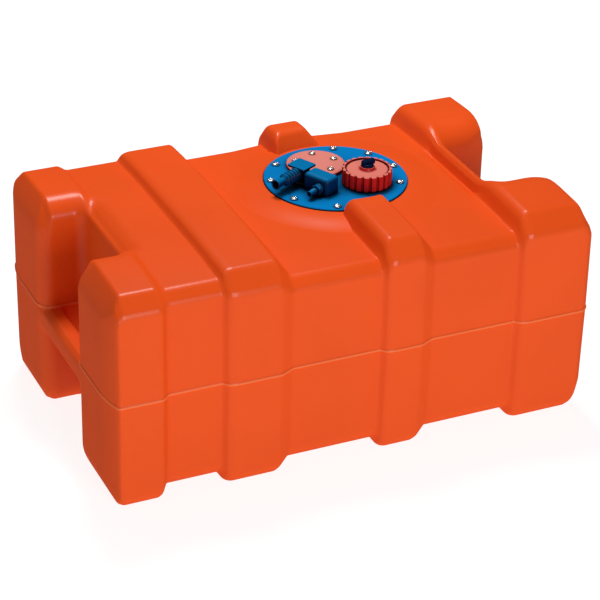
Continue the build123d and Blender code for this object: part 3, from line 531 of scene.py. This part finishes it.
def fitting_piece(name, stacks, material, body, node):
    """A smooth closed piece that moves with a body and shows in place of one CAD node."""
    made = mesh_piece(name, *closed_rings(*stacks))
    made.data.materials.append(material)
    even = made.modifiers.new("even_shading", "WEIGHTED_NORMAL")
    even.keep_sharp = True
    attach(made, body)
    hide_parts(node)
    return made


def screw_rings(head_r, head_high, shank_r, shank_long):
    """A screw whose head stands on z = 0. The head is a low dome, whose height falls by half the share of its
    radius to the power 3.2. The recess is a cross of two bars, sunk 0.62 of the head's height."""
    profile = softened([(0, -shank_long, 0), (shank_r, -shank_long, 0.5), (shank_r, 0, 0), (head_r, 0, 0),
                        (head_r, 0.45 * head_high, 0.5)], 4)
    across = np.linspace(1, 0.03, 22)[:, None]
    dome = np.hstack([head_r * across, head_high * (1 - 0.5 * across ** 3.2)])
    arm_wide, arm_long, deep = 0.15 * head_r, 0.62 * head_r, 0.62 * head_high

    def recessed(radius, height, angle):
        """Sinks the head's top inside the cross, whose walls slope over a tenth of the head's radius at the
        arms' sides and over 0.16 of it at their ends."""
        x, y = np.abs(radius * np.cos(angle)), np.abs(radius * np.sin(angle))
        wall = np.clip((arm_wide - np.minimum(x, y)) / (0.1 * head_r) + 0.5, 0, 1)
        end = np.clip((arm_long - np.maximum(x, y)) / (0.16 * head_r) + 0.5, 0, 1)
        return radius, height - deep * wall * end * (height > 0.45 * head_high)

    return turned(np.vstack([profile, dome]), 72, recessed)


def placed(rings, x, y, z, turn_by=0.0):
    """Rings turned about the vertical and moved to a place."""
    c, q = cos(turn_by), sin(turn_by)
    return rings @ np.array([[c, q, 0], [-q, c, 0], [0, 0, 1]]) + [x, y, z]


def screw_circle(screw, middle, radius, angles, seat, twist):
    """Copies of a screw at the given angles on a circle round the middle, at the seat's height. Each is twisted
    further than the one before, so that their crosses don't line up."""
    return [placed(screw, *(middle + radius * np.array([cos(a), sin(a)])), seat, twist * k)
            for k, a in enumerate(np.radians(angles))]


stainless = grained("stainless", (0.78, 0.78, 0.76), 0.2, spread=0.08, patch=400.0, grain=2500.0,
                    height_mm=0.004, Metallic=1.0)
# Seven places 33 degrees apart and three 40.5 degrees apart, less the one where the cover lies.
screw_angles = [-32.0 + 33.0 * k for k in range(7)] + [-32.0 + 198.0 + 40.5 * k for k in (1, 2, 3)]
to_cover = np.degrees(np.arctan2(*(COVER_AT - PLATE_AT)[::-1]))
screw_angles.remove(min(screw_angles, key=lambda a: abs(a - to_cover)))
fitting_piece("plate_screw_set", screw_circle(screw_rings(4.7, 3.0, 2.5, 14.0), PLATE_AT, PLATE_SCREW_R,
                                              screw_angles, PLATE_TOP, 37),
              stainless, "tank", "plate_screws")
fitting_piece("cover_screw_set", screw_circle(screw_rings(4.2, 2.6, 2.0, 6.0), COVER_AT, COVER_SCREW_R,
                                              4.0 + 72.0 * np.arange(5), COVER_TOP, 21),
              stainless, "tank", "cover_screws")

# ---- Gauge cover -----------------------------------------------------------------------------------------
# A moulded red disc that blanks off the hole for a fuel gauge sender. It lies on a rubber ring; its edge is
# rounded, and a shallow step runs round its top.
COVER_R, COVER_FOOT, COVER_STEP = 38.0, 283.0, 0.5
disc = softened([(0, COVER_FOOT, 0), (COVER_R, COVER_FOOT, 0.4), (COVER_R, COVER_TOP - COVER_STEP, 0.9),
                 (36.2, COVER_TOP - COVER_STEP, 0.3), (35.6, COVER_TOP, 0.3), (0, COVER_TOP, 0)])
# The sides keep the base red; upward faces take a paler red as painted light, and corners within 4 mm are darkened
# as painted shade.
red_cover = grained("red_cover", (0.58, 0.02, 0.018), 0.45, spread=0.05, patch=40.0, grain=900.0,
                    height_mm=0.02, painted_top_light=(0.70, 0.22, 0.18), corner=0.004, Coat_Roughness=0.3, **FAINT)
fitting_piece("cover_disc", [placed(turned(disc, 128), *COVER_AT, 0)],
              red_cover, "tank", "gauge_cover")

# ---- Filler cap and vent knob ----------------------------------------------------------------------------
# A screw cap moulded in red plastic, scalloped for grip, with a dished top. The boss in its middle carries the
# dark blue knob that opens and shuts the vent.
CAP_AT, CAP_R, CAP_FOOT, CAP_TOP, CAP_ROOF = (96.0, 1.0), 32.0, 283.2, 303.2, 296.0
DISH, BOSS_TOP = 301.3, 305.5
SCALLOPS, FLUTE_R, FLUTE_OUT, FLUTE_GAIN, FLUTE_START, FLUTE_RUN = 20, 2.0, 0.3, 1.4, 29.6, 1.2


def scalloped(radius, height, angle):
    """The outer wall falls back where narrow round flutes, whose axes stand just outside it, cut it: by the
    half chord at a place's distance from the flute's middle, less the axis's distance out, times the gain. The
    flutes fade out inwards over the rim."""
    step = 2 * pi / SCALLOPS
    beside = CAP_R * np.abs((angle + step / 2) % step - step / 2)
    chord = np.sqrt(np.clip(FLUTE_R ** 2 - beside ** 2, 0, None))
    flute = np.clip(chord - FLUTE_OUT, 0, None) * FLUTE_GAIN
    return radius - flute * np.clip((radius - FLUTE_START) / FLUTE_RUN, 0, 1), height


# The cup's profile runs from under its roof down the inside, up the outer wall, over the rim and a narrow
# groove into the dish, and up the boss.
cup = softened([(0, CAP_ROOF, 0), (25.6, CAP_ROOF, 0.6), (25.6, CAP_FOOT, 0.4), (CAP_R, CAP_FOOT, 0.7),
                (CAP_R, CAP_TOP, 1.6), (28.4, CAP_TOP, 0.6), (28.0, 300.0, 0.5), (26.6, 300.0, 0.4),
                (26.3, DISH, 0.4), (10.2, DISH, 1.2), (9.2, BOSS_TOP, 0.8), (0, BOSS_TOP, 0)])
# The sides keep the base red; upward faces take a paler red as painted light, and corners within 4 mm are darkened
# as painted shade.
red_cap = grained("red_cap", (0.56, 0.014, 0.012), 0.45, spread=0.05, patch=40.0, grain=900.0,
                  height_mm=0.02, painted_top_light=(0.70, 0.19, 0.15), corner=0.004, Coat_Roughness=0.25, **FAINT)
fitting_piece("cap_cup", [placed(turned(cup, 480, scalloped), *CAP_AT, 0)],
              red_cap, "cap", "filler_cap")


def rounded_box(half_x, half_y, corner, levels, lean=0.0):
    """Rings of an upright box with round corners. Each level is its inset and height; the outline keeps its
    corner radius less the inset. The box is moved along y by the lean."""
    around = 9                      # places on each corner's quarter circle
    quarter = np.linspace(0, pi / 2, around)
    angle = np.concatenate([quarter + k * pi / 2 for k in range(4)])
    sign_x, sign_y = np.repeat([1, -1, -1, 1], around), np.repeat([1, 1, -1, -1], around)
    rings = []
    for inset, height in levels:
        radius = max(corner - inset, 0.05)
        middle_x, middle_y = half_x - inset - radius, half_y - inset - radius
        rings.append(np.stack([sign_x * middle_x + radius * np.cos(angle),
                               sign_y * middle_y + radius * np.sin(angle) + lean,
                               np.full(angle.shape, height)], -1))
    return np.array(rings)


def edge_levels(low, high, low_r, high_r):
    """Levels of a box from low to high whose bottom and top edges are rounded: quarter circles of inset."""
    t = np.linspace(0, pi / 2, 6)
    return [(low_r * (1 - sin(a)), low + low_r * (1 - cos(a))) for a in t] + [
        (high_r * (1 - cos(a)), high - high_r * (1 - sin(a))) for a in t]


KNOB_R, KNOB_FOOT, KNOB_STEP, BLADE_TOP, BLADE_SHIFT = 8.0, 305.8, 309.3, 314.4, 1.0
foot = softened([(0, KNOB_FOOT, 0), (KNOB_R, KNOB_FOOT, 0.5), (KNOB_R, KNOB_STEP, 1.2), (0, KNOB_STEP, 0)])
blade = rounded_box(9.0, 3.5, 2.4, edge_levels(308.5, BLADE_TOP, 0.1, 1.4)) + [BLADE_SHIFT, 0, 0]
# The blade's top slopes down towards its tail: by 0.32 of the distance past 2 mm behind the axis.
blade[..., 2] -= np.clip(-blade[..., 0] - 2, 0, None) * 0.32 * (blade[..., 2] > 309.5)
navy_knob = grained("navy_knob", (0.0005, 0.006, 0.035), 0.4, spread=0.1, patch=90.0, grain=900.0,
                    height_mm=0.02, Coat_Roughness=0.25, **FAINT)
fitting_piece("knob_blade", [placed(turned(foot), *CAP_AT, 0), placed(blade, *CAP_AT, 0)],
              navy_knob, "vent_valve", "vent_knob")

# ---- Vent elbow ------------------------------------------------------------------------------------------
# A moulded blue elbow for the vent hose: a round body under a square lid, a collar and a long hose tail with
# saw-tooth rings and a plain lip at its mouth. It stands on a rubber seal, and a nut under the plate holds it.
ELBOW_AT, ELBOW_AXIS, TAIL_ANGLE, LID_LEAN = (20.7, 34.9), 296.4, radians(207.0), -1.3


def lying(rings, x, y, z):
    """Rings whose axis, along z, is laid level to point along the hose tails from a place."""
    return placed(rings[..., [2, 0, 1]], x, y, z, TAIL_ANGLE)


def ringed_tail(root, mouth, radius, bore, first, pitch, count, step):
    """Profile of a hose tail from its root to its mouth, then back down its bore. Each of the count rings steps
    out to its full radius at once and falls back, a pitch further on, to as much below the tail's radius."""
    points = [(0, root, 0), (radius, root, 0), (radius, first, 0)]
    for k in range(count):
        at = first + k * pitch
        points += [(radius + step, at + 0.3, 0.3), (radius + step, at + 0.3 * pitch, 0.3),
                   (radius - step, at + pitch - 0.3, 0.3)]
    points += [(radius, mouth, 0.8), (bore, mouth, 0.5), (bore, root + 4, 0), (0, root + 4, 0)]
    return softened(points, 4)


SPIGOT_R, SPIGOT_END, FITTING_FOOT = 7.0, 263.0, 283.0
body = softened([(0, SPIGOT_END, 0), (SPIGOT_R, SPIGOT_END, 0.5), (SPIGOT_R, FITTING_FOOT, 0),
                 (9.5, FITTING_FOOT, 0.5), (9.5, 303, 0.3), (0, 303, 0)])
collar = softened([(0, 5, 0), (9.0, 5, 0), (9.0, 12.5, 0.6), (0, 12.5, 0)])
tail = ringed_tail(root=8.0, mouth=54.0, radius=6.7, bore=4.7, first=13.0, pitch=5.2, count=5, step=1.7)
lid = rounded_box(12.5, 13.8, 2.0, edge_levels(302.7, 305.7, 0.4, 0.9), LID_LEAN)
# The base blue is dark to stand for the shade on the side faces; upward faces take a brighter blue as painted
# light, and corners within 12 mm are darkened as painted shade.
blue_fitting = grained("blue_fitting", (0.0005, 0.022, 0.085), 0.45, spread=0.08, patch=60.0, grain=900.0,
                       height_mm=0.02, painted_top_light=(0.0005, 0.15, 0.36), corner=0.012, Coat_Roughness=0.28, **FAINT)
fitting_piece("elbow_body", [
    placed(turned(body), *ELBOW_AT, 0), placed(lid, *ELBOW_AT, 0, TAIL_ANGLE),
    lying(turned(collar), *ELBOW_AT, ELBOW_AXIS), lying(turned(tail), *ELBOW_AT, ELBOW_AXIS)],
    blue_fitting, "tank", "vent_elbow")

# ---- Fuel outlet and barb --------------------------------------------------------------------------------
# A moulded blue block that turns the pick-up's flow sideways, held by a nut under the plate. The small hose
# tail screws into its boss with a hexagon, on a sealing ring.
OUTLET_AT, OUTLET_AXIS, BLOCK_LEAN = (36.1, -3.0), 290.5, -7.3
block = rounded_box(12.5, 20.0, 5.0, edge_levels(FITTING_FOOT, 305.0, 0.4, 6.0), BLOCK_LEAN)
boss = softened([(0, 8, 0), (7.2, 8, 0), (7.2, 15, 0.6), (0, 15, 0)])
stem = softened([(0, 247, 0), (4.2, 247, 0.4), (4.2, SPIGOT_END, 0), (SPIGOT_R, SPIGOT_END, 0.5),
                 (SPIGOT_R, 284, 0), (0, 284, 0)])
fitting_piece("outlet_block", [
    placed(block, *OUTLET_AT, 0, TAIL_ANGLE), placed(turned(stem), *OUTLET_AT, 0),
    lying(turned(boss), *OUTLET_AT, OUTLET_AXIS)], blue_fitting, "tank", "fuel_outlet")
HEX_HALF, HEX_CORNER = 6.5, 7.3        # half across the flats, and the circle that cuts the corners


def hexagonal(radius, height, angle):
    """The collar's radius grows towards six corners, as half the width across the flats over the cosine of the
    angle from a flat's middle, and the corners are cut to a circle."""
    flat = HEX_HALF / np.cos((angle + pi / 6) % (pi / 3) - pi / 6)
    around = np.minimum(flat, HEX_CORNER) - (HEX_HALF - radius)
    return np.where((radius > 6.0) & (height > 0), around, radius), height


hexagon = softened([(0, 16, 0), (HEX_HALF, 16, 0.4), (HEX_HALF, 20.5, 0.5), (0, 20.5, 0)])
small_tail = ringed_tail(root=18.0, mouth=33.5, radius=3.9, bore=2.3, first=22.5, pitch=3.6, count=2, step=0.5)
fitting_piece("barb_body", [
    lying(turned(hexagon, 72, hexagonal), *OUTLET_AT, OUTLET_AXIS),
    lying(turned(small_tail, 48), *OUTLET_AT, OUTLET_AXIS)],
    blue_fitting, "tank", "fuel_barb")

# ---- Plate, seals and inner pieces -----------------------------------------------------------------------
# The pieces whose plain shapes show as they are: the blue plate with the filler neck, the rubber seals and
# gaskets, the brass sleeves, the nuts under the plate, and the pick-up hose and strainer inside the tank.
def finish_as(material, *names):
    """Give the named nodes one material."""
    for name in names:
        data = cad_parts[name].data
        data.materials.clear()
        data.materials.append(material)


# The base blue is dark, a painted shade on the plate's edge; its top takes a brighter blue as painted light, and
# corners within 22 mm are darkened as painted shade.
blue_plate = grained("blue_plate", (0.0005, 0.03, 0.11), 0.45, spread=0.06, patch=25.0, grain=700.0,
                     height_mm=0.02, painted_top_light=(0.0005, 0.19, 0.50), corner=0.022, Coat_Roughness=0.3, **FAINT)
brass = grained("brass", (0.72, 0.50, 0.20), 0.25, spread=0.12, patch=300.0, grain=2000.0, height_mm=0.006,
                Metallic=1.0)
nitrile_rubber = grained("nitrile_rubber", (0.018, 0.018, 0.018), 0.65, spread=0.3, patch=120.0, grain=1200.0)
fuel_hose = grained("fuel_hose", (0.16, 0.15, 0.12), 0.35, spread=0.15, patch=60.0, grain=800.0,
                    height_mm=0.02, IOR=1.45)
white_moulding = grained("white_moulding", (0.74, 0.74, 0.70), 0.5, spread=0.04, patch=60.0, grain=900.0,
                         height_mm=0.02, IOR=1.4)
finish_as(blue_plate, "top_plate")
finish_as(blue_fitting, "fitting_nuts", "vent_elbow", "fuel_outlet", "fuel_barb")
finish_as(orange_moulding, "tank_shell")
finish_as(red_cover, "gauge_cover")
finish_as(red_cap, "filler_cap")
finish_as(navy_knob, "vent_knob")
finish_as(stainless, "plate_screws", "cover_screws", "spindle_clip")
finish_as(brass, "seat_inserts", "cover_inserts")
finish_as(nitrile_rubber, "plate_gasket", "cover_gasket", "cap_seal", "spindle_seal", "barb_seal",
          "fitting_seals")
finish_as(fuel_hose, "pickup_tube")
finish_as(white_moulding, "vent_spindle", "pickup_strainer")
